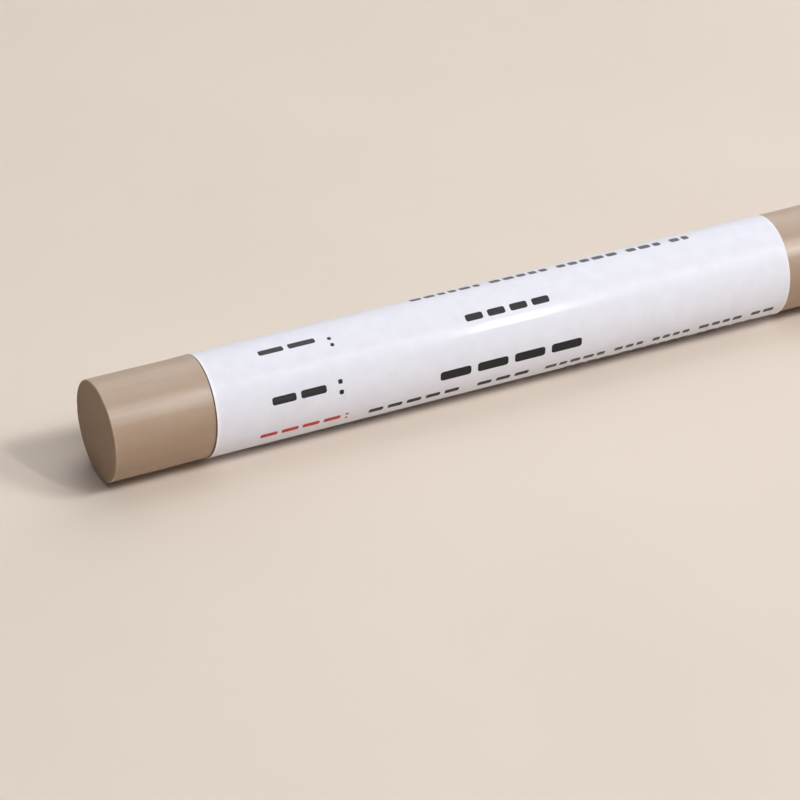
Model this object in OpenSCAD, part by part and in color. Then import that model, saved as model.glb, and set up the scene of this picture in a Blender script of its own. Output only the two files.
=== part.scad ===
// Furniture repair wax stick: a cast wax rod with a self-adhesive label wrapped and lapped round it.
// The rod lies along X with its near end at -X. Z is up, and the origin is under the rod's middle,
// on the surface that the label rests on.

/* [Wax rod] */
// Length of the rod from end face to end face
wax_l = 100; // [70:1:160]
// Diameter of the rod under the label
wax_d = 12; // [8:0.5:20]
// Radius of the softened edge round each end face
end_edge_r = 0.15; // [0.1:0.05:0.8]
// How far each bare end swells beyond the rod's own radius
end_swell = 0.05; // [0.02:0.01:0.2]
// Length of the straight land at each swollen end
end_land_l = 5; // [2:0.5:8]

/* [Label] */
// Bare wax between the near end face and the label
near_bare_l = 12.4; // [9:0.1:25]
// Bare wax between the label and the far end face
far_bare_l = 12.6; // [9:0.1:25]
// Thickness of the adhesive coat
adhesive_t = 0.02; // [0.01:0.01:0.06]
// Thickness of the label's paper
paper_t = 0.06; // [0.04:0.01:0.2]
// Thickness of the clear gloss film
film_t = 0.02; // [0.01:0.01:0.06]

/* [Label lap] */
// Angle of the label's start edge, from straight down towards the back
start_angle = 105; // [100:1:132]
// How far the label lies on its own start
lap_l = 1.9; // [0.5:0.1:3]
// Gap between the start edge and the place where the lap has climbed to it
lap_gap = 0.1; // [0.05:0.05:0.5]
// How deep the climb's flat would cut the rod if it ran on: a deeper one climbs more steeply
climb_bite = 0.03; // [0.01:0.01:0.1]

/* [Hidden] */
$fn = 180;

wax_r = wax_d / 2;
end_r = wax_r + end_swell;
label_l = wax_l - near_bare_l - far_bare_l;
label_t = adhesive_t + paper_t + film_t;
paper_r = wax_r + adhesive_t;
film_r = paper_r + paper_t;
label_r = wax_r + label_t;

// Angles round the rod, counted from the foot of the climb.
climb_angle = acos((wax_r - climb_bite) / label_r);
start_edge_angle = climb_angle + arc_angle(lap_gap);
lap_end_angle = start_edge_angle + arc_angle(lap_l);
cut_overrun_angle = arc_angle(lap_gap);

// Angle that a length takes up round the label's outside.
function arc_angle(length) = length / label_r * 180 / PI;

// Stands a shape drawn along +Z onto the rod's axis, with its foot at a distance from the near end face.
module along_rod(from_near_end) {
    translate([from_near_end - wax_l / 2, 0, label_r])
        rotate([0, 90, 0])
            children();
}

// Half section of the rod: swollen end lands, cones that fade to the labelled length, rounded end edges.
module rod_section() {
    edge_in_r = end_r - end_edge_r;
    polygon([
        [0, 0],
        [edge_in_r, 0],
        [end_r, end_edge_r],
        [end_r, end_land_l],
        [wax_r, near_bare_l],
        [wax_r, wax_l - far_bare_l],
        [end_r, wax_l - end_land_l],
        [end_r, wax_l - end_edge_r],
        [edge_in_r, wax_l],
        [0, wax_l]
    ]);
    for (y = [end_edge_r, wax_l - end_edge_r])
        translate([edge_in_r, y])
            circle(r = end_edge_r);
}

// Right triangle from the rod's axis, with its far side flat at a distance and its slanted side at an angle.
module wedge(distance, angle) {
    polygon([[0, 0], [distance, 0], [distance, distance * tan(angle)]]);
}

// All that one face of the label encloses: the rod's round, and the climb and lap up to an angle.
module enclosed(face_r, end_angle) {
    circle(r = face_r);
    intersection() {
        circle(r = face_r + label_t);
        wedge(face_r - climb_bite, end_angle);
    }
}

// The stretch of a layer that the lap covers, run on past the lap's end to meet the turn.
module covered_start(face_r, thickness) {
    covered_angle = lap_end_angle - start_edge_angle + 2 * cut_overrun_angle;
    intersection() {
        difference() {
            circle(r = face_r + thickness);
            circle(r = face_r);
        }
        rotate(start_edge_angle)
            wedge(label_r + label_t, covered_angle);
    }
}

// One layer of the label, from the radius of its inner face.
module wrapped_layer(face_r, thickness) {
    along_rod(near_bare_l)
        rotate(start_angle - start_edge_angle)
            linear_extrude(height = label_l) {
                difference() {
                    enclosed(face_r + thickness, lap_end_angle);
                    enclosed(face_r, lap_end_angle + cut_overrun_angle);
                }
                covered_start(face_r, thickness);
            }
}

module wax_stick() {
    color([0.70, 0.61, 0.52])
        along_rod(0)
            rotate_extrude()
                rod_section();
}

module label_adhesive() {
    color([0.88, 0.85, 0.76])
        wrapped_layer(wax_r, adhesive_t);
}

module label_paper() {
    color([0.94, 0.93, 0.96])
        wrapped_layer(paper_r, paper_t);
}

module label_film() {
    color([0.97, 0.97, 1.00, 0.3])
        wrapped_layer(film_r, film_t);
}

wax_stick();
label_adhesive();
label_paper();
label_film();
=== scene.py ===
import math

import bmesh
import bpy
import numpy as np
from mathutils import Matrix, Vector


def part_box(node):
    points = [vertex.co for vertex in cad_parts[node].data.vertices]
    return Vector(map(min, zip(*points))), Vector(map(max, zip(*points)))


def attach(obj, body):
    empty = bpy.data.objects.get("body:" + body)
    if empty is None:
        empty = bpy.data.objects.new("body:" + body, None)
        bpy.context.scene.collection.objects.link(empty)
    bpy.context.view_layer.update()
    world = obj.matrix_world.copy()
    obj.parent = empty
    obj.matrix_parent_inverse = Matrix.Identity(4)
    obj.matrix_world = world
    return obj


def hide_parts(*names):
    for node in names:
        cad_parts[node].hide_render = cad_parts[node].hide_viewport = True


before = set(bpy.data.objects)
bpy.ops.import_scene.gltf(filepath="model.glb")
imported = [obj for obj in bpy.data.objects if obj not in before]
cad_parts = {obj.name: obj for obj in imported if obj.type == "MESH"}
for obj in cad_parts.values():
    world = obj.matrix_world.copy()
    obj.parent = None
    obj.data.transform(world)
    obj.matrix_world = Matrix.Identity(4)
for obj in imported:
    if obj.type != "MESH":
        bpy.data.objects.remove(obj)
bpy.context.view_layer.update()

# The looks of a furniture repair wax stick: a cast wax rod with a gloss label wrapped and lapped round it.
# Places are in metres in the CAD frame. The rod lies along X. An angle round it is counted in degrees
# from straight up towards the photograph's viewer, so 90 faces -Y and -90 faces +Y.

MM = 0.001
FULL_TURN = 360
SEED = 7

# The rod and its label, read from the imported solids.
wax_low, wax_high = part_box("wax_stick")
film_low, film_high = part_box("label_film")
NEAR_X, FAR_X = wax_low.x, wax_high.x
LABEL_NEAR_X, LABEL_FAR_X = film_low.x, film_high.x
AXIS_Z = (wax_low.z + wax_high.z) / 2
END_R = (wax_high.z - wax_low.z) / 2
LABEL_R = AXIS_Z - film_low.z

# Sizes that the solids' boxes don't give, about as in the part's source.
LABEL_T = 0.10 * MM
ADHESIVE_T = 0.02 * MM
WAX_R = LABEL_R - LABEL_T
EDGE_R = 0.15 * MM
LAND_L = 5 * MM
LAP_START = -75
CLIMB_ANGLE = 11.9
LAP_GAP_ANGLE = 0.93
LAP_ANGLE = 17.7


# Shapes round the rod

def rod_points(x, angle, radius):
    """Points round the rod's axis, from arrays of places along it, angles and radii."""
    x, angle, radius = np.broadcast_arrays(x, np.radians(angle), radius)
    return np.stack([x, -radius * np.sin(angle), AXIS_Z + radius * np.cos(angle)], -1)


def turn_from(angle, place):
    """The angle from a place round the rod, between minus and plus half a turn."""
    return (angle - place + FULL_TURN / 2) % FULL_TURN - FULL_TURN / 2


def bell(distance, width):
    """1 at no distance, falling smoothly to nothing at a few widths."""
    return np.exp(-((distance / width) ** 2))


def smooth_step(low, high, value):
    """0 up to the low end, 1 from the high end, and a smooth rise between them."""
    t = np.clip((value - low) / (high - low), 0, 1)
    return t * t * (3 - 2 * t)


def ripple(angle, waves, seed):
    """A smooth closed wave round the rod, between about -1 and 1, from whole numbers of waves per turn."""
    rng = np.random.default_rng(seed)
    total = sum(np.cos(n * np.radians(angle) + rng.uniform(0, 2 * np.pi)) for n in waves)
    return total / len(waves)


def uneven(share, wave):
    """A factor of at most 1 that a wave between -1 and 1 lowers by up to twice a share."""
    return 1 - share + share * wave


# Meshes

def grid_faces(rows, columns, start=0, closed=False):
    """Quads over a grid of points stored row by row, joined round the columns where it is closed."""
    faces = []
    for row in range(rows - 1):
        for column in range(columns if closed else columns - 1):
            after = (column + 1) % columns
            low, high = start + row * columns, start + (row + 1) * columns
            faces.append((low + column, low + after, high + after, high + column))
    return faces


def turn_outwards(mesh):
    """Turns a mesh's faces to look outwards."""
    work = bmesh.new()
    work.from_mesh(mesh)
    bmesh.ops.recalc_face_normals(work, faces=work.faces)
    work.to_mesh(mesh)
    work.free()


def new_piece(name, points, faces, material, sharp_angle=30):
    """A smooth-shaded mesh object with one material, its faces turned outwards."""
    mesh = bpy.data.meshes.new(name)
    mesh.from_pydata([tuple(p) for p in points], [], faces)
    mesh.validate()
    mesh.materials.append(material)
    piece = bpy.data.objects.new(name, mesh)
    bpy.context.scene.collection.objects.link(piece)
    turn_outwards(mesh)
    mesh.shade_smooth()
    mesh.set_sharp_from_angle(angle=math.radians(sharp_angle))
    return piece


def set_attribute(piece, name, values):
    """Stores one number for each point of a piece, for its material to read."""
    layer = piece.data.attributes.new(name, "FLOAT", "POINT")
    layer.data.foreach_set("value", np.asarray(values, np.float32).ravel())


# Materials

# Parts of a noise's range that are stretched over the whole of what it drives.
SOFT = (0.25, 0.75)
MIDDLE = (0.3, 0.7)
FIRM = (0.35, 0.65)
SPECKS = (0.66, 0.74)
FEWER_SPECKS = (0.68, 0.74)

# Settings that more than one material shares. The relief is in millimetres.
WAX_BODY = {"Subsurface Weight": 0.12, "Subsurface Scale": 0.6 * MM, "Subsurface Radius": (1, 0.6, 0.35)}
FILM_GLOSS = {"Specular IOR Level": 0.2, "Coat Weight": 0.15, "Coat Roughness": 0.08, "Coat IOR": 1.5}
FILM_RELIEF = 0.004


def srgb(red, green, blue):
    """A colour written in 0 to 255 as the linear values that a shader takes."""
    values = [c / 255 for c in (red, green, blue)]
    return tuple(c / 12.92 if c <= 0.04045 else ((c + 0.055) / 1.055) ** 2.4 for c in values) + (1,)


class Surface:
    """A material with one Principled shader, and short calls for the nodes that feed it."""

    def __init__(self, name, settings):
        self.material = bpy.data.materials.new(name)
        self.material.use_nodes = True
        self.tree = self.material.node_tree
        self.shader = self.tree.nodes["Principled BSDF"]
        self.place = self.tree.nodes.new("ShaderNodeTexCoord").outputs["Object"]
        for socket, value in settings.items():
            self.shader.inputs[socket].default_value = value

    def link(self, output, socket):
        """Feeds one of the shader's sockets from a node."""
        self.tree.links.new(output, self.shader.inputs[socket])

    def stretched(self, x, y, z):
        """The place scaled along each axis, in cycles per millimetre."""
        mapping = self.tree.nodes.new("ShaderNodeMapping")
        mapping.inputs["Scale"].default_value = (x / MM, y / MM, z / MM)
        self.tree.links.new(self.place, mapping.inputs["Vector"])
        return mapping.outputs["Vector"]

    def noise(self, cycles, detail=3, rough=0.5):
        """Noise from 0 to 1, with its cycles per millimetre as one number or one for each axis."""
        cycles = cycles if isinstance(cycles, tuple) else (cycles,) * 3
        texture = self.tree.nodes.new("ShaderNodeTexNoise")
        texture.inputs["Scale"].default_value = 1
        texture.inputs["Detail"].default_value = detail
        texture.inputs["Roughness"].default_value = rough
        self.tree.links.new(self.stretched(*cycles), texture.inputs["Vector"])
        return texture.outputs["Fac"]

    def spread(self, value, taken, low, high):
        """A value mapped from the range that is taken of it to another range, and kept in that."""
        node = self.tree.nodes.new("ShaderNodeMapRange")
        for name, number in zip(("From Min", "From Max", "To Min", "To Max"), (*taken, low, high)):
            node.inputs[name].default_value = number
        self.tree.links.new(value, node.inputs["Value"])
        return node.outputs["Result"]

    def patches(self, cycles, low=0, high=1, taken=MIDDLE, detail=3):
        """Noise spread over a range of values."""
        return self.spread(self.noise(cycles, detail), taken, low, high)

    def worn_and_highlit(self, most):
        """The share of each point's pale rim, partly wear and partly a painted highlight, up to a given
        most, read from the piece's attribute.
        """
        node = self.tree.nodes.new("ShaderNodeAttribute")
        node.attribute_name = "wear_and_highlight"
        return self.spread(node.outputs["Fac"], (0, 1), 0, most)

    def mix(self, factor, first, second):
        """Two colours mixed by a factor; each is a colour or another node's output."""
        node = self.tree.nodes.new("ShaderNodeMix")
        node.data_type = "RGBA"
        self.tree.links.new(factor, node.inputs["Factor"])
        for socket, colour in (("A", first), ("B", second)):
            target = [i for i in node.inputs if i.name == socket and i.type == "RGBA"][0]
            if isinstance(colour, tuple):
                target.default_value = colour
            else:
                self.tree.links.new(colour, target)
        return [o for o in node.outputs if o.type == "RGBA"][0]

    def bump(self, height, depth, below=None):
        """Relief of a depth in millimetres, laid over another relief where one is given."""
        node = self.tree.nodes.new("ShaderNodeBump")
        node.inputs["Distance"].default_value = depth * MM
        self.tree.links.new(height, node.inputs["Height"])
        if below is not None:
            self.tree.links.new(below, node.inputs["Normal"])
        return node.outputs["Normal"]


def wax_colour(wax, base, cloud):
    """Tan wax with cloudy mottling, soft streaks along the rod, dark specks, and paler rims that are partly
    wear and partly a painted highlight.
    """
    # edge is the pale rim's colour: partly wear, partly a painted highlight of the rounded edge catching the
    # light.
    streak, speck, edge = srgb(163, 136, 110), srgb(134, 107, 83), srgb(200, 177, 152)
    colour = wax.mix(wax.patches(0.35, detail=4), base, cloud)
    colour = wax.mix(wax.patches((0.03, 1.1, 1.1), high=0.45), colour, streak)
    colour = wax.mix(wax.patches(2.6, high=0.3, taken=SPECKS, detail=2), colour, speck)
    return wax.mix(wax.worn_and_highlit(0.7), colour, edge)


def wax_skin_material():
    """The rod's moulded side: satin, with fine streaks drawn along it."""
    sheen = {"Specular IOR Level": 0.9, "Coat Weight": 0.3, "Coat Roughness": 0.4}
    wax = Surface("wax_skin", {**WAX_BODY, **sheen})
    wax.link(wax_colour(wax, srgb(149, 122, 97), srgb(156, 129, 103)), "Base Color")
    wax.link(wax.patches((0.08, 1.6, 1.6), 0.38, 0.48, SOFT), "Roughness")
    grain = wax.bump(wax.noise(5.5, rough=0.6), depth=0.006)
    wax.link(wax.bump(wax.noise((0.05, 2.4, 2.4), detail=2), depth=0.008, below=grain), "Normal")
    return wax.material


def wax_cut_material():
    """The rod's cut end faces: matte, with a fine waxy grain, and a little paler than the side as painted
    light that lifts their shade.
    """
    wax = Surface("wax_cut", {**WAX_BODY, "Specular IOR Level": 0.25})
    # Painted light: the end faces' colour is lifted paler than the side's to brighten their shade.
    wax.link(wax_colour(wax, srgb(159, 135, 114), srgb(166, 142, 120)), "Base Color")
    wax.link(wax.patches(1.6, 0.66, 0.8, SOFT), "Roughness")
    grain = wax.bump(wax.noise(4.5, rough=0.6), depth=0.012)
    wax.link(wax.bump(wax.noise((1.0, 0.25, 3.0), detail=2), depth=0.012, below=grain), "Normal")
    return wax.material


def label_material():
    """White paper under a clear gloss film, with faint fibre clouds, dust, slightly uneven gloss, and whiter
    edges that are partly bare paper and partly a painted highlight.
    """
    # edge is the whiter colour of the cut edges: partly bare paper, partly a painted highlight.
    dust, edge = srgb(188, 184, 186), srgb(247, 246, 248)
    label = Surface("gloss_label", FILM_GLOSS)
    colour = label.mix(label.patches(0.6, detail=4), srgb(226, 226, 235), srgb(231, 231, 239))
    colour = label.mix(label.patches(2.2, high=0.12, taken=FEWER_SPECKS, detail=2), colour, dust)
    label.link(label.mix(label.worn_and_highlit(0.9), colour, edge), "Base Color")
    label.link(label.patches(0.9, 0.42, 0.55), "Roughness")
    label.link(label.bump(label.noise(1.3, detail=2), FILM_RELIEF), "Normal")
    return label.material


def ink_material(name, thin, full):
    """Printed ink under the film: its coverage varies a little, and it takes the film's gloss."""
    ink = Surface(name, FILM_GLOSS)
    ink.link(ink.mix(ink.patches(3.5), thin, full), "Base Color")
    ink.link(ink.patches(1.5, 0.4, 0.55), "Roughness")
    ink.link(ink.bump(ink.noise(1.3, detail=2), FILM_RELIEF), "Normal")
    return ink.material


def adhesive_material():
    """The glue line at the label's edges, in a dark grey-brown."""
    glue = Surface("adhesive_line", {"Specular IOR Level": 0.4})
    glue.link(glue.mix(glue.patches(3.0, taken=FIRM), srgb(112, 97, 83), srgb(136, 120, 105)), "Base Color")
    glue.link(glue.patches(2.0, 0.5, 0.7), "Roughness")
    glue.link(glue.bump(glue.noise(4.0), depth=0.01), "Normal")
    return glue.material


def floor_material():
    """A plain pale floor with a barely uneven tone."""
    floor = Surface("pale_floor", {"Specular IOR Level": 0.08})
    floor.link(floor.mix(floor.patches(0.02), srgb(225, 212, 198), srgb(229, 216, 202)), "Base Color")
    floor.link(floor.patches(0.1, 0.65, 0.75), "Roughness")
    return floor.material


# The wax rod

ROD_COLUMNS = 288
FACE_RINGS = 22
EDGE_RINGS = 7
BARE_RINGS = 46
HIDDEN_RINGS = 24
ROD_SHARP_ANGLE = 60
NEAR_SEED, FAR_SEED = 1, 2
# The end faces: a shallow dish with a saw's marks across it.
FACE_DISH = 0.06 * MM
SAW_DEPTH = 0.012 * MM
SAW_PITCH = 0.55 * MM
SAW_ANGLE = 35
SAW_WAVES = (2, 3, 5)
# A face of the mesh whose normal lies this much along the rod belongs to the cut end.
CUT_FACING = 0.8
# Streaks along the bare sides, which wander a few degrees.
STREAK_DEPTH = 0.006 * MM
STREAK_WAVES = (7, 11, 17, 26, 35)
STREAK_WANDER = 3
STREAK_WANDER_L = 4 * MM
# Where the label was pressed down hardest, so that the wax stands up to it there.
PRESSED_ANGLE = -34
PRESSED_WIDTH = 45
LABEL_MEET = 0.08 * MM
LABEL_MEET_SINK = 0.02 * MM
LABEL_MEET_L = 2 * MM
# Small knocks in an end's edge: angle, depth and width. Each end has them turned by its seed.
NICKS = [(-18, 0.05 * MM, 4), (64, 0.07 * MM, 3), (142, 0.06 * MM, 5), (231, 0.09 * MM, 4)]
NICK_REACH = 0.35 * MM
NICK_TURN = 40
# The paler rim of each end face: partly rubbed wear, partly a painted highlight of the rounded edge catching
# the light.
RIM_WEAR_HIGHLIGHT_WIDTH = 0.16 * MM
RIM_WEAR_HIGHLIGHT_UNEVEN = 0.3
RIM_WEAR_HIGHLIGHT_WAVES = (3, 8, 13)


def pressed_down(angle):
    """1 where the label was pressed down hardest, falling to nothing round the rod."""
    return bell(turn_from(angle, PRESSED_ANGLE), PRESSED_WIDTH)


def bare_radius(depth, bare_l):
    """The rod's radius at a distance from its end face: swollen at the end, and true at the label."""
    return END_R + (WAX_R - END_R) * smooth_step(LAND_L, bare_l, depth)


def rod_angles():
    """Angles of the rod's columns of points."""
    return np.linspace(0, FULL_TURN, ROD_COLUMNS, endpoint=False)[None, :]


def end_rings(bare_l):
    """Depths from the end face and radii of the rings from the face's middle to the label's edge."""
    rim_r = END_R - EDGE_R
    face = [(0, r) for r in np.linspace(rim_r / FACE_RINGS, rim_r, FACE_RINGS)]
    turns = np.linspace(0, np.pi / 2, EDGE_RINGS)[1:]
    edge = [(EDGE_R * (1 - np.cos(t)), rim_r + EDGE_R * np.sin(t)) for t in turns]
    side = [(d, bare_radius(d, bare_l)) for d in np.linspace(EDGE_R, bare_l, BARE_RINGS)[1:]]
    return np.array(face + edge + side)


def face_relief(depth, radius, angle, seed):
    """How far each point of an end face lies inwards along the rod."""
    dish = FACE_DISH * (1 - (radius / END_R) ** 2)
    saw = SAW_DEPTH * np.sin(radius * np.cos(np.radians(angle + SAW_ANGLE)) / SAW_PITCH)
    return np.where(depth == 0, dish + saw * ripple(angle, SAW_WAVES, seed + 1), 0)


def side_relief(depth, radius, angle, bare_l, seed):
    """How far each point of a bare end stands out: its streaks, the rise to the label and the nicks."""
    wander = STREAK_WANDER * np.sin(depth / STREAK_WANDER_L)
    outward = STREAK_DEPTH * ripple(angle + wander, STREAK_WAVES, seed) * (depth > 0)
    meets = (LABEL_MEET + LABEL_MEET_SINK) * pressed_down(angle) - LABEL_MEET_SINK
    outward = outward + meets * bell(bare_l - depth, LABEL_MEET_L)
    at_edge = bell(depth + END_R - np.minimum(radius, END_R), NICK_REACH)
    for spot, nick_depth, width in NICKS:
        away = turn_from(angle, spot + seed * NICK_TURN)
        outward = outward - nick_depth * bell(away, width) * at_edge
    return outward


def wax_end(x_face, direction, bare_l, seed):
    """The rings of one bare end, from its face's middle outwards, as points and the share of the rim's wear
    and painted highlight.
    """
    rings = end_rings(bare_l)
    angle = rod_angles()
    depth, radius = rings[:, :1], rings[:, 1:]
    inward = face_relief(depth, radius, angle, seed)
    outward = side_relief(depth, radius, angle, bare_l, seed)
    points = rod_points(x_face + direction * (depth + inward), angle, radius + outward)
    # The rim's pale band: partly wear, partly a painted highlight.
    rim = bell(depth + (END_R - radius), RIM_WEAR_HIGHLIGHT_WIDTH)
    return points, rim * uneven(RIM_WEAR_HIGHLIGHT_UNEVEN, ripple(angle, RIM_WEAR_HIGHLIGHT_WAVES, seed))


def close_face(points, faces, ring, x):
    """Closes an end face: joins its innermost ring to a new point in its middle."""
    middle = len(points)
    points.append(np.array([x, 0, AXIS_Z]))
    first = ring * ROD_COLUMNS
    faces += [(middle, first + c, first + (c + 1) % ROD_COLUMNS) for c in range(ROD_COLUMNS)]


def wax_rod(skin, cut):
    """The whole rod: two bare ends and the hidden length between them, with its end faces in the cut wax."""
    near, near_wear_and_highlight = wax_end(NEAR_X, 1, LABEL_NEAR_X - NEAR_X, NEAR_SEED)
    far, far_wear_and_highlight = wax_end(FAR_X, -1, FAR_X - LABEL_FAR_X, FAR_SEED)
    hidden_x = np.linspace(LABEL_NEAR_X, LABEL_FAR_X, HIDDEN_RINGS)[1:-1, None]
    hidden = rod_points(hidden_x, rod_angles(), WAX_R)
    rings = np.concatenate([near, hidden, far[::-1]])
    wear_and_highlight = np.concatenate([near_wear_and_highlight, np.zeros(hidden.shape[:2]), far_wear_and_highlight[::-1]])
    points = list(rings.reshape(-1, 3))
    faces = grid_faces(len(rings), ROD_COLUMNS, closed=True)
    close_face(points, faces, 0, NEAR_X + FACE_DISH)
    close_face(points, faces, len(rings) - 1, FAR_X - FACE_DISH)
    rod = new_piece("wax_rod", points, faces, skin, ROD_SHARP_ANGLE)
    rod.data.materials.append(cut)
    for face in rod.data.polygons:
        face.material_index = int(abs(face.normal.x) > CUT_FACING)
    set_attribute(rod, "wear_and_highlight", np.append(wear_and_highlight, [0, 0]))
    return rod


# The label and its adhesive

LABEL_ROWS = 134
LABEL_COLUMNS = 360
# How far the label lies out of square, at the most.
LABEL_ASKEW = 0.36 * MM
# Long shallow waves in the sheet.
SLACK_DEPTH = 0.008 * MM
SLACK_L = 9 * MM
SLACK_SHIFT = 0.8
SLACK_WAVES = (1, 2, 3)
# Stretches of the edges that stand off the wax, and the curl of the very edge.
STAND_OFF = 0.04 * MM
STAND_OFF_L = 0.7 * MM
STAND_OFF_WAVES = (1, 2, 4)
EDGE_CURL = 0.06 * MM
EDGE_CURL_L = 0.18 * MM
EDGE_CURL_UNEVEN = 0.3
EDGE_CURL_WAVES = (3, 7, 11)
# Where the stick rests on its label and presses it flat, and how far round that reaches.
REST_ANGLE = 180
REST_WIDTH = 16
# The whiter band at the label's cut edges: partly bare paper, partly a painted highlight.
CUT_EDGE_HIGHLIGHT_WIDTH = 0.24 * MM
CUT_EDGE_HIGHLIGHT_UNEVEN = 0.15
CUT_EDGE_HIGHLIGHT_WAVES = (5, 9, 14)
# The glue that is squeezed out past the label's edges.
GLUE_PROUD = 0.06 * MM
GLUE_UNEVEN = 0.75
GLUE_RIPPLE = 0.4
GLUE_WAVES = (9, 16, 27)
GLUE_PAST_LAP = 1.0


def sheet_angles(past=0):
    """Angles round the label from its start edge to the free edge of its lap, or some way past it."""
    return LAP_START + np.linspace(0, FULL_TURN + LAP_ANGLE + past, LABEL_COLUMNS)[None, :]


def sheet_rows():
    """Shares of the label's length for its rows of points, closer together at its edges."""
    return (1 - np.cos(np.linspace(0, np.pi, LABEL_ROWS)))[:, None] / 2


def sheet_lift(angle):
    """How far the sheet lies off the rod at each angle: nothing, then the climb on to its own start."""
    meets_start = LAP_START + FULL_TURN - LAP_GAP_ANGLE
    return LABEL_T * smooth_step(meets_start - CLIMB_ANGLE, meets_start, angle)


def askew(angle):
    """How far the label lies towards the far end at each angle, as it was laid on a little out of square."""
    return LABEL_ASKEW * np.cos(np.radians(angle))


def from_label_edge(x):
    """The distance from the nearer end of the label."""
    return np.minimum(x - LABEL_NEAR_X, LABEL_FAR_X - x)


def label_waves(x, angle):
    """The slack in a hand-laid label: long shallow waves, and edges that stand off in places."""
    slack = SLACK_DEPTH * np.sin(x / SLACK_L + SLACK_SHIFT) * ripple(angle, SLACK_WAVES, SEED)
    lifted = np.clip(ripple(angle, STAND_OFF_WAVES, SEED + 1), 0, 1)
    stands_off = STAND_OFF * np.exp(-from_label_edge(x) / STAND_OFF_L) * lifted
    curled = 1 + EDGE_CURL_UNEVEN * ripple(angle, EDGE_CURL_WAVES, SEED + 4)
    curl = EDGE_CURL * np.exp(-from_label_edge(x) / EDGE_CURL_L) * curled
    rests = bell(turn_from(angle, REST_ANGLE), REST_WIDTH)
    return (slack + (stands_off + curl) * (1 - pressed_down(angle))) * (1 - rests)


def grid_border(rows, columns):
    """The points round the border of a grid stored row by row, in order."""
    first = list(range(columns))
    right = [r * columns + columns - 1 for r in range(1, rows)]
    last = [(rows - 1) * columns + c for c in range(columns - 2, -1, -1)]
    left = [r * columns for r in range(rows - 2, 0, -1)]
    return first + right + last + left


def wrapped_sheet(name, x, angle, inner, outer, material):
    """A closed sheet round the rod, from grids of its inner and outer radii."""
    rows, columns = np.broadcast_shapes(x.shape, angle.shape)
    points = np.concatenate([rod_points(x, angle, outer), rod_points(x, angle, inner)]).reshape(-1, 3)
    under = rows * columns
    faces = grid_faces(rows, columns) + grid_faces(rows, columns, under)
    border = grid_border(rows, columns)
    for here, after in zip(border, border[1:] + border[:1]):
        faces.append((here, after, under + after, under + here))
    return new_piece(name, points, faces, material)


def label_sheet(material):
    """The printed paper and its film as one sheet, with whiter edges that are partly bare paper and partly a
    painted highlight.
    """
    x = LABEL_NEAR_X + (LABEL_FAR_X - LABEL_NEAR_X) * sheet_rows()
    angle = sheet_angles()
    base = WAX_R + ADHESIVE_T + sheet_lift(angle) + label_waves(x, angle)
    outer = base + LABEL_T - ADHESIVE_T
    sheet = wrapped_sheet("label_sheet", x + askew(angle), angle, base, outer, material)
    cut_edge_uneven = uneven(CUT_EDGE_HIGHLIGHT_UNEVEN, ripple(angle, CUT_EDGE_HIGHLIGHT_WAVES, SEED + 2))
    cut_edge_highlight = bell(from_label_edge(x), CUT_EDGE_HIGHLIGHT_WIDTH) * cut_edge_uneven
    set_attribute(sheet, "wear_and_highlight", np.concatenate([cut_edge_highlight, cut_edge_highlight]))
    return sheet


def adhesive_coat(material):
    """The glue under the label, squeezed out a hair past the label's edges, and least along the top."""
    angle = sheet_angles(past=GLUE_PAST_LAP)
    proud = GLUE_PROUD * (1 - GLUE_UNEVEN * np.cos(np.radians(angle - PRESSED_ANGLE)))
    proud = proud * (1 + GLUE_RIPPLE * ripple(angle, GLUE_WAVES, SEED + 3))
    near, far = LABEL_NEAR_X - proud, LABEL_FAR_X + proud
    x = near + (far - near) * sheet_rows()
    base = WAX_R + sheet_lift(angle) + np.zeros_like(x)
    under_label = label_waves(np.clip(x, LABEL_NEAR_X, LABEL_FAR_X), angle)
    top = base + ADHESIVE_T + np.maximum(under_label, 0)
    return wrapped_sheet("adhesive_coat", x + askew(angle), angle, base, top, material)


# The label's print: plain rounded marks in groups, with sizes in millimetres

PRINT_PROUD = 0.004 * MM
MARK_STEPS = 14
MARK_ROUND_SHARE = 0.28
# The order of a step's four points round the mark.
ROUND_STEP = (0, 1, 3, 2)

# Rows: distance from the near end to the first mark, angle, and the marks' height, widths and gap.
BLACK_ROWS = [
    (19.6, 13.5, 0.75, [3.1, 3.4], 0.6),
    (45.1, 33.4, 0.9, [2.25] * 4, 0.65),
    (19.4, 71.4, 0.95, [3.0, 3.2], 0.6),
    (40.6, 91.8, 1.2, [4.0] * 4, 0.85),
    (31.7, 118.4, 0.75, [1.85] * 5, 0.6),
    (45.8, 119.6, 0.75, [1.85] * 3, 0.6),
]
RED_ROWS = [(17.9, 114, 0.65, [2.15] * 4, 0.5)]
# Pairs of dots: their distance from the near end, their angle, the angle between them and their size.
BLACK_DOTS = [(28.4, 20.7, 9, 0.45), (28.0, 73.5, 12, 0.55)]
RED_DOTS = [(28.8, 115, 7, 0.35)]
# Small lines: distances from the near end where they start and stop, angle, the marks' height, and
# the slope in degrees per millimetre.
# The first is along the top, the second along the lower edge, and the others are under the stick.
GREY_LINES = [
    (40.5, 77.3, -20, 1.0, 0.34),
    (54.8, 86, 121, 0.7, -0.1),
    (58, 84, 139, 0.6, 0),
    (18, 80, 159, 0.6, 0),
]
# A group of small marks has from two up to, but not including, seven of them.
SMALL_GROUP = (2, 7)
SMALL_WIDTHS = (0.8, 1.5)
SMALL_GAP = 0.4
GROUP_GAP = 0.9


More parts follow.
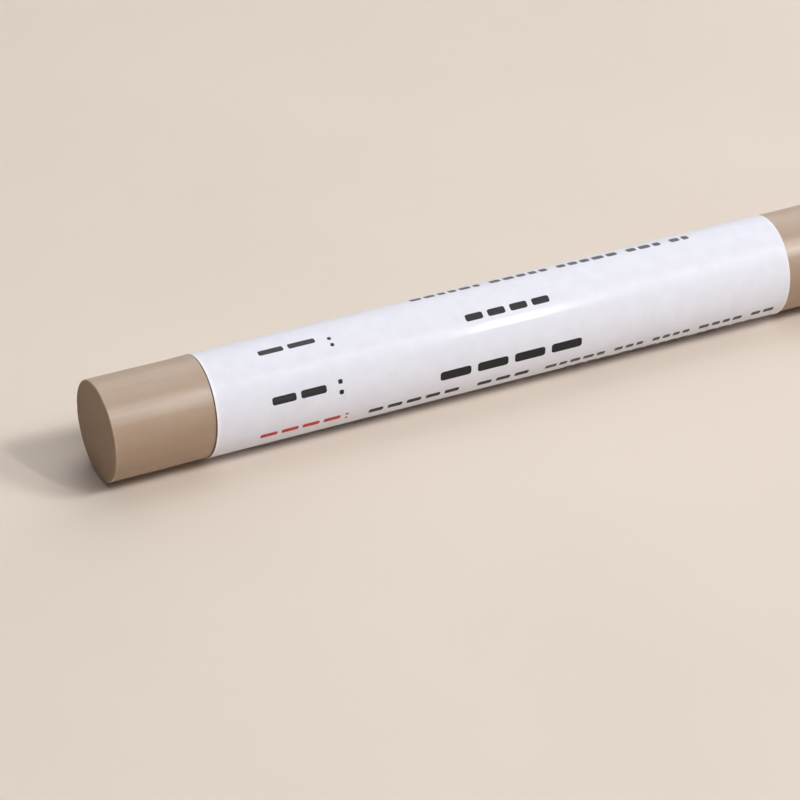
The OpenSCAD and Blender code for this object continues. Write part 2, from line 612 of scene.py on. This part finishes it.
def mark_points(x, angle, width, height):
    """One rounded mark: its left and right edges at steps up its height, above and below the film's face."""
    corner = MARK_ROUND_SHARE * min(width, height)
    up = np.linspace(-height / 2, height / 2, MARK_STEPS)
    into_corner = np.clip(np.abs(up) - (height / 2 - corner), 0, corner)
    half = width / 2 - corner + np.sqrt(corner ** 2 - into_corner ** 2)
    turn = (angle - np.degrees(up / LABEL_R))[:, None]
    edges = np.stack([x - half, x + half], 1)
    radius = LABEL_R + label_waves(edges - askew(turn), turn)
    above = rod_points(edges, turn, radius + PRINT_PROUD)
    below = rod_points(edges, turn, radius - PRINT_PROUD)
    return np.concatenate([above, below], 1).reshape(-1, 3)


def mark_faces(start):
    """Faces round the steps of points that mark_points gives, closed at the first and the last."""
    steps = [[start + len(ROUND_STEP) * step + c for c in ROUND_STEP] for step in range(MARK_STEPS)]
    faces = [tuple(steps[0])]
    for low, high in zip(steps, steps[1:]):
        for side in range(len(ROUND_STEP)):
            after = (side + 1) % len(ROUND_STEP)
            faces.append((low[side], low[after], high[after], high[side]))
    faces.append(tuple(steps[-1]))
    return faces


def print_piece(name, marks, material):
    """One colour of print. A mark is its distance from the near end, its angle, width and height."""
    points, faces = [], []
    for along, angle, width, height in marks:
        faces += mark_faces(len(points))
        points += list(mark_points(NEAR_X + along * MM, angle, width * MM, height * MM))
    return new_piece(name, points, faces, material)


def row_of(along, angle, height, widths, gap):
    """A row of marks from their widths, left to right, with even gaps."""
    marks = []
    for width in widths:
        marks.append((along + width / 2, angle, width, height))
        along += width + gap
    return marks


def dot_pair(along, angle, apart, size):
    """Two dots, one over the other."""
    return [(along, angle + side * apart / 2, size, size) for side in (-1, 1)]


def bold_marks(rows, dots):
    """The larger marks of one colour, from its rows and its pairs of dots."""
    marks = [mark for row in rows for mark in row_of(*row)]
    return marks + [dot for pair in dots for dot in dot_pair(*pair)]


def small_line(start, end, angle, height, slope, seed):
    """A line of small marks in groups, between two distances from the near end."""
    rng = np.random.default_rng(seed)
    marks, along = [], start
    while True:
        for _ in range(rng.integers(*SMALL_GROUP)):
            width = rng.uniform(*SMALL_WIDTHS)
            if along + width > end:
                return marks
            marks.append((along + width / 2, angle + slope * (along - start), width, height))
            along += width + SMALL_GAP
        along += GROUP_GAP


def grey_marks():
    """All the small lines, each from a seed of its own."""
    lines = [small_line(*line, SEED + number) for number, line in enumerate(GREY_LINES)]
    return [mark for line in lines for mark in line]


# Stage, lights and camera

# The camera stands where the photograph was taken from.
CAMERA_PLACE = Vector((-180.13, -352.72, 245.87)) * MM
CAMERA_AIM = Vector((-17.85, -12.83, 8.88)) * MM
CAMERA_LENS = 176.02
CAMERA_NEAREST = 10 * MM

FLOOR_HALF = 6000 * MM

# Lamps: place along the rod, angle round it and distance from its axis, size, and watts.
LAMPS = {
    "key_strip": (540 * MM, 28, 1130 * MM, (1500 * MM, 240 * MM), 5.1),
    "key_core": (474 * MM, 40, 1100 * MM, (13 * MM, 270 * MM), 2.8),
    "side_softbox": (850 * MM, 34, 1150 * MM, (300 * MM, 90 * MM), 5.9),
    "overhead_panel": (690 * MM, -31, 1800 * MM, (1400 * MM, 2700 * MM), 19.2),
    "front_fill": (0 * MM, 86, 1500 * MM, (2400 * MM, 160 * MM), 2.7),
}
# The lamps that turn to a place near the rod's near end. The others face the rod's axis square on.
FACED = {"side_softbox": -40 * MM, "overhead_panel": -40 * MM}

# The dome: its brighter side is overhead and to the photograph's right.
DOME_AXIS = (0.25, -0.10, 0.96)
DOME_DIM = (0, 0, 0, 1)
DOME_BRIGHT = (0.21, 0.21, 0.24, 1)
BACKGROUND = (0.94, 0.92, 0.90, 1)


def floor_piece():
    """A wide floor that the label rests on."""
    half = FLOOR_HALF
    corners = [(-half, -half, 0), (half, -half, 0), (half, half, 0), (-half, half, 0)]
    return new_piece("floor", corners, [(0, 1, 2, 3)], floor_material())


def stand(name, data, place, aim):
    """Puts a lamp or a camera at a place, looking at a point."""
    holder = bpy.data.objects.new(name, data)
    holder.location = place
    holder.rotation_euler = (aim - holder.location).to_track_quat("-Z", "Y").to_euler()
    bpy.context.scene.collection.objects.link(holder)
    return holder


def softbox(name, x, angle, distance, size, watts):
    """A rectangular lamp at an angle round the rod's axis, turned to a point on it."""
    lamp = bpy.data.lights.new(name, "AREA")
    lamp.shape = "RECTANGLE"
    lamp.size, lamp.size_y = size
    lamp.energy = watts
    stand(name, lamp, rod_points(x, angle, distance), Vector((FACED.get(name, x), 0, AXIS_Z)))


def studio_light():
    """All the lamps."""
    for name, setting in LAMPS.items():
        softbox(name, *setting)


def larger(tree, first, second):
    """The larger of two outputs."""
    node = tree.nodes.new("ShaderNodeMath")
    node.operation = "MAXIMUM"
    tree.links.new(first, node.inputs[0])
    tree.links.new(second, node.inputs[1])
    return node.outputs[0]


def seen_rays(tree):
    """1 for the rays that show the world itself: the camera's, and those of reflections and clear glass."""
    rays = tree.nodes.new("ShaderNodeLightPath").outputs
    seen = larger(tree, rays["Is Camera Ray"], rays["Is Glossy Ray"])
    return larger(tree, seen, rays["Is Transmission Ray"])


def dome_colour(tree):
    """A colour that goes from dim to bright towards the dome's axis."""
    towards = tree.nodes.new("ShaderNodeVectorMath")
    towards.operation = "DOT_PRODUCT"
    towards.inputs[1].default_value = DOME_AXIS
    direction = tree.nodes.new("ShaderNodeTexCoord").outputs["Generated"]
    tree.links.new(direction, towards.inputs[0])
    ramp = tree.nodes.new("ShaderNodeValToRGB")
    ramp.color_ramp.elements[0].color = DOME_DIM
    ramp.color_ramp.elements[1].color = DOME_BRIGHT
    tree.links.new(towards.outputs["Value"], ramp.inputs["Fac"])
    return ramp.outputs["Color"]


def pale_world():
    """A dome that is brighter overhead lights the object; the camera and reflections see a pale even one."""
    world = bpy.data.worlds.new("pale_world")
    bpy.context.scene.world = world
    world.use_nodes = True
    tree = world.node_tree
    tree.nodes.clear()
    dome = tree.nodes.new("ShaderNodeBackground")
    tree.links.new(dome_colour(tree), dome.inputs["Color"])
    pale = tree.nodes.new("ShaderNodeBackground")
    pale.inputs["Color"].default_value = BACKGROUND
    choose = tree.nodes.new("ShaderNodeMixShader")
    for output, socket in zip((seen_rays(tree), dome.outputs[0], pale.outputs[0]), choose.inputs):
        tree.links.new(output, socket)
    shown = tree.nodes.new("ShaderNodeOutputWorld")
    tree.links.new(choose.outputs[0], shown.inputs["Surface"])


def photo_camera():
    """The camera at the photograph's place."""
    lens = bpy.data.cameras.new("camera")
    lens.lens = CAMERA_LENS
    lens.clip_start = CAMERA_NEAREST
    bpy.context.scene.camera = stand("camera", lens, CAMERA_PLACE, CAMERA_AIM)


def add_piece(piece, slot, *nodes):
    """Fixes a piece to the one body and hides the CAD nodes that it stands for. The finish's name that it is
    given is not used.
    """
    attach(piece, "root")
    if nodes:
        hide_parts(*nodes)


black = ink_material("black_ink", srgb(34, 33, 36), srgb(24, 23, 26))
red = ink_material("red_ink", srgb(196, 66, 62), srgb(184, 50, 48))
grey = ink_material("grey_ink", srgb(84, 82, 88), srgb(66, 64, 70))

add_piece(wax_rod(wax_skin_material(), wax_cut_material()), "wax", "wax_stick")
add_piece(adhesive_coat(adhesive_material()), "adhesive", "label_adhesive")
add_piece(label_sheet(label_material()), "label_paper", "label_paper", "label_film")
add_piece(print_piece("print_black", bold_marks(BLACK_ROWS, BLACK_DOTS), black), "label_paper")
add_piece(print_piece("print_red", bold_marks(RED_ROWS, RED_DOTS), red), "label_paper")
add_piece(print_piece("print_grey", grey_marks(), grey), "label_paper")

floor_piece()
studio_light()
pale_world()
photo_camera()
bpy.context.scene.view_settings.view_transform = "Standard"
